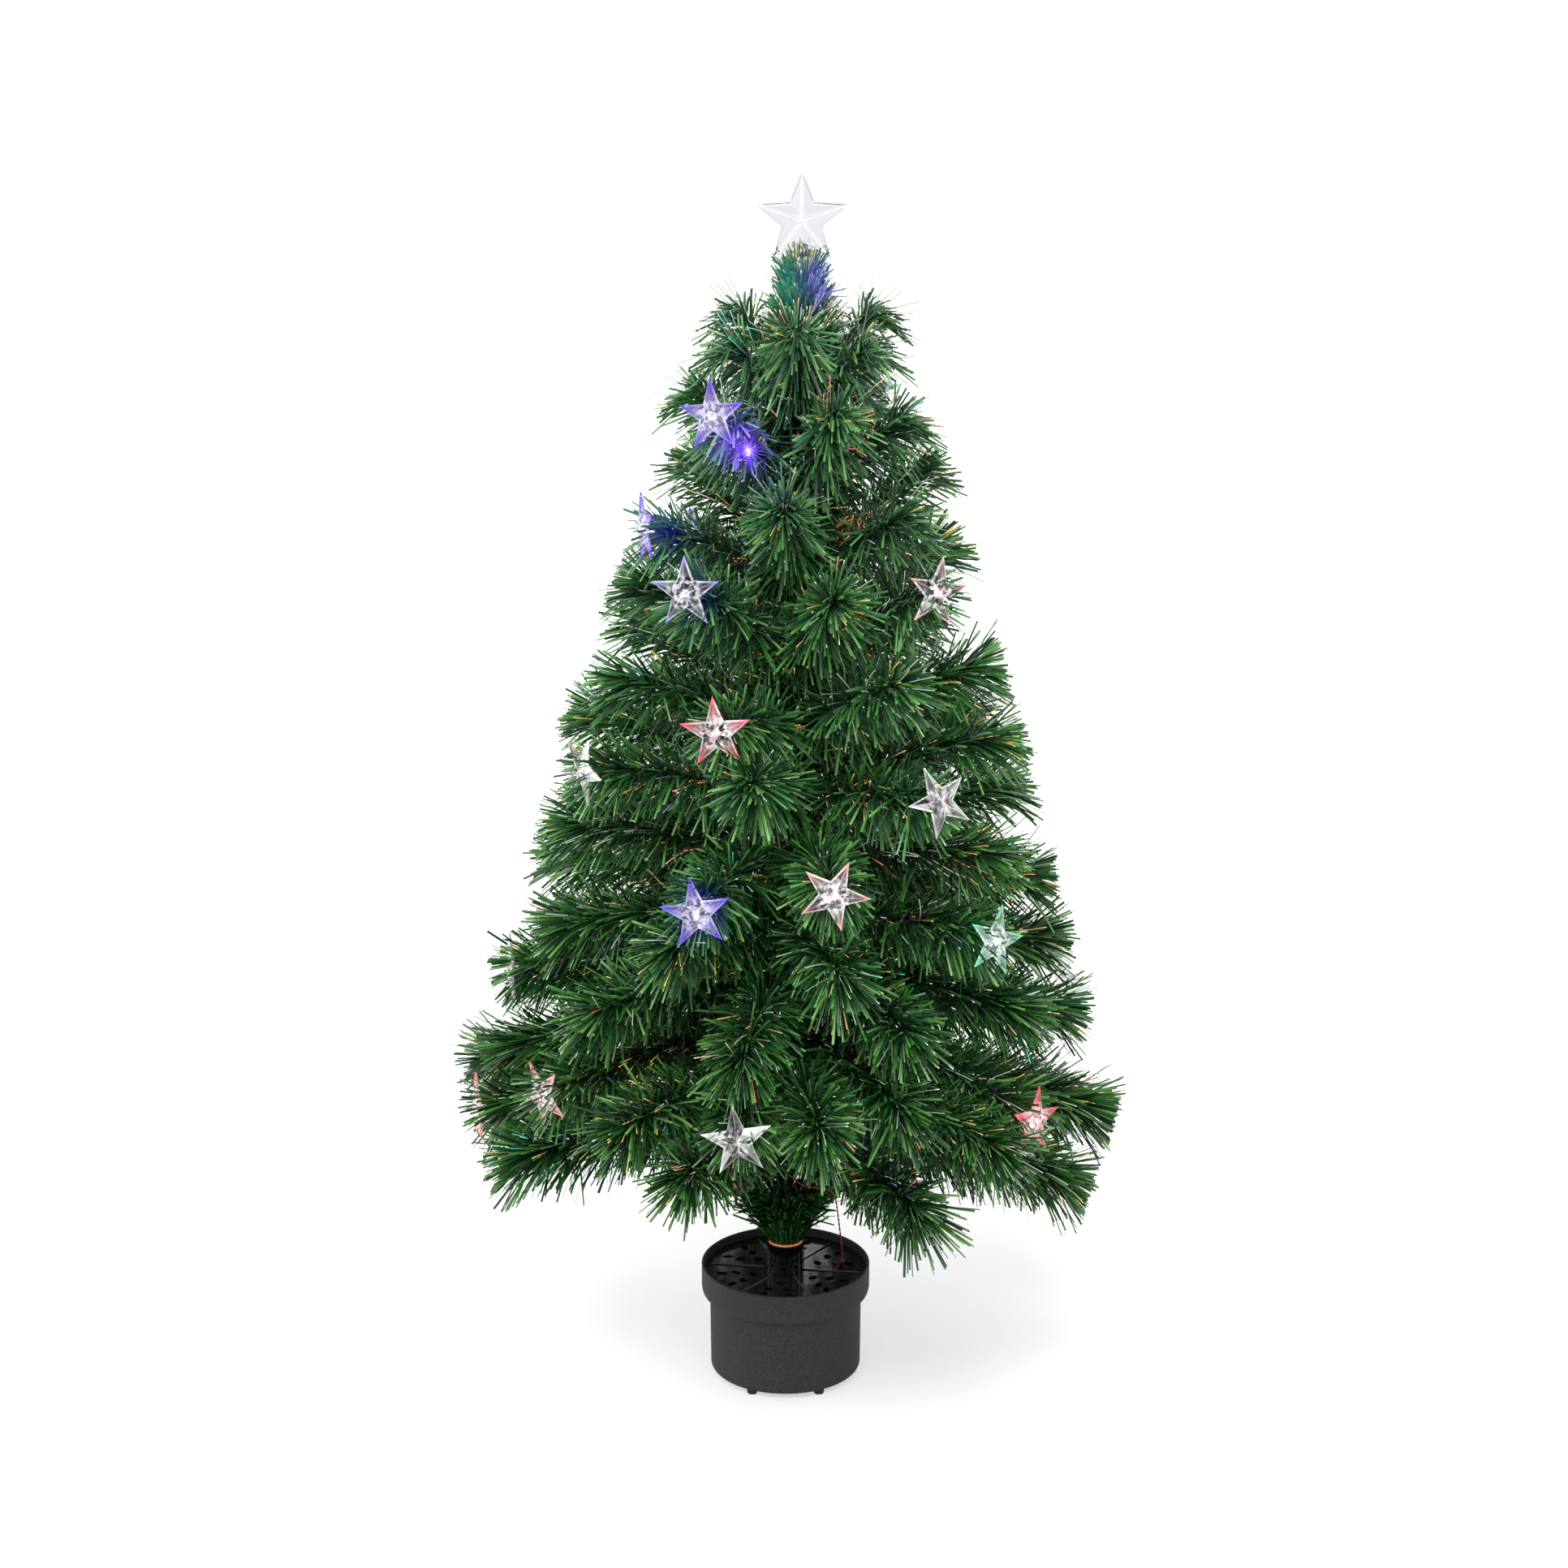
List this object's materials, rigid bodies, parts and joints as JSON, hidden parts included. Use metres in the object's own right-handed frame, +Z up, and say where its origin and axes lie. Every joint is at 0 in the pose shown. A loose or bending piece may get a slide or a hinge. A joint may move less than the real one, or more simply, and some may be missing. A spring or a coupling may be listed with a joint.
{
  "type": "fiber optic christmas tree",
  "caption": "Christmas tree on a pot: foxtail branches of green needles and lit fibre ends, clear lit stars, and a lamp with a turning colour wheel under the trunk of fibres.",
  "frame": {"origin": "on the line of the lower trunk and of the pot, at the level of the feet's undersides", "axes": "+Z up along the trunk, the front of the tree towards -Y, its right side towards +X, the supply inlet at +Y"},
  "size_m": [0.6192, 0.6288, 1.2],
  "materials": {
    "pot_plastic": "matte",
    "lid_plastic": "gloss",
    "black_plastic": "satin",
    "sheet_steel": "satin",
    "white_ceramic": "matte",
    "lamp_glass": "polished",
    "board_green": "satin",
    "white_nylon": "satin",
    "wheel_film": "gloss",
    "fibre": "gloss",
    "green_needles": "satin",
    "clear_acrylic": "polished",
    "red_lead": "satin"
  },
  "bodies": {
    "pot": {"pot_shell": "pot_plastic", "equipment_bracket": "sheet_steel", "bracket_screw_1": "sheet_steel", "bracket_screw_2": "sheet_steel", "lamp_holder": "white_ceramic", "reflector_lamp": "lamp_glass", "wheel_motor": "sheet_steel", "star_driver_board": "board_green", "supply_inlet": "black_plastic", "supply_inlet_nut": "sheet_steel"},
    "wheel": {"wheel_hub": "white_nylon", "colour_wheel": "wheel_film", "wheel_shaft": "sheet_steel"},
    "lid": {"lid": "lid_plastic", "star_lead_socket": "black_plastic"},
    "tree": {"fibre_ferrule": "black_plastic", "fibre_bundle": "fibre", "trunk_pole": "sheet_steel", "trunk_garland": "green_needles", "branch_tier_01": "green_needles", "branch_tier_02": "green_needles", "branch_tier_03": "green_needles", "branch_tier_04": "green_needles", "branch_tier_05": "green_needles", "branch_tier_06": "green_needles", "branch_tier_07": "green_needles", "branch_tier_08": "green_needles", "branch_tier_09": "green_needles", "branch_tier_10": "green_needles", "branch_tier_11": "green_needles", "branch_tier_12": "green_needles", "crown_brush": "green_needles", "star_01": "clear_acrylic", "star_02": "clear_acrylic", "star_03": "clear_acrylic", "star_04": "clear_acrylic", "star_05": "clear_acrylic", "star_06": "clear_acrylic", "star_07": "clear_acrylic", "star_08": "clear_acrylic", "star_09": "clear_acrylic", "star_10": "clear_acrylic", "star_11": "clear_acrylic", "star_12": "clear_acrylic", "star_13": "clear_acrylic", "star_14": "clear_acrylic", "star_15": "clear_acrylic", "star_16": "clear_acrylic", "star_17": "clear_acrylic", "star_18": "clear_acrylic", "star_19": "clear_acrylic", "star_20": "clear_acrylic", "star_21": "clear_acrylic", "star_22": "clear_acrylic", "star_lead": "red_lead", "star_lead_plug": "red_lead"},
    "topper": {"topper_star": "clear_acrylic", "topper_holder": "clear_acrylic"}
  },
  "joints": [
    {"name": "wheel_spin", "type": "hinge", "parent": "pot", "child": "wheel", "pos_m": [-0.028, 0, 0.074], "axis": [0, 0, 1], "continuous": true},
    {"name": "lid_lift", "type": "slide", "parent": "pot", "child": "lid", "axis": [0, 0, 1], "range_m": [0, 0.06]},
    {"name": "tree_lift", "type": "slide", "parent": "lid", "child": "tree", "axis": [0, 0, 1], "range_m": [0, 0.06]},
    {"name": "topper_lift", "type": "slide", "parent": "tree", "child": "topper", "axis": [0, 0, 1], "range_m": [0, 0.05]}
  ]
}
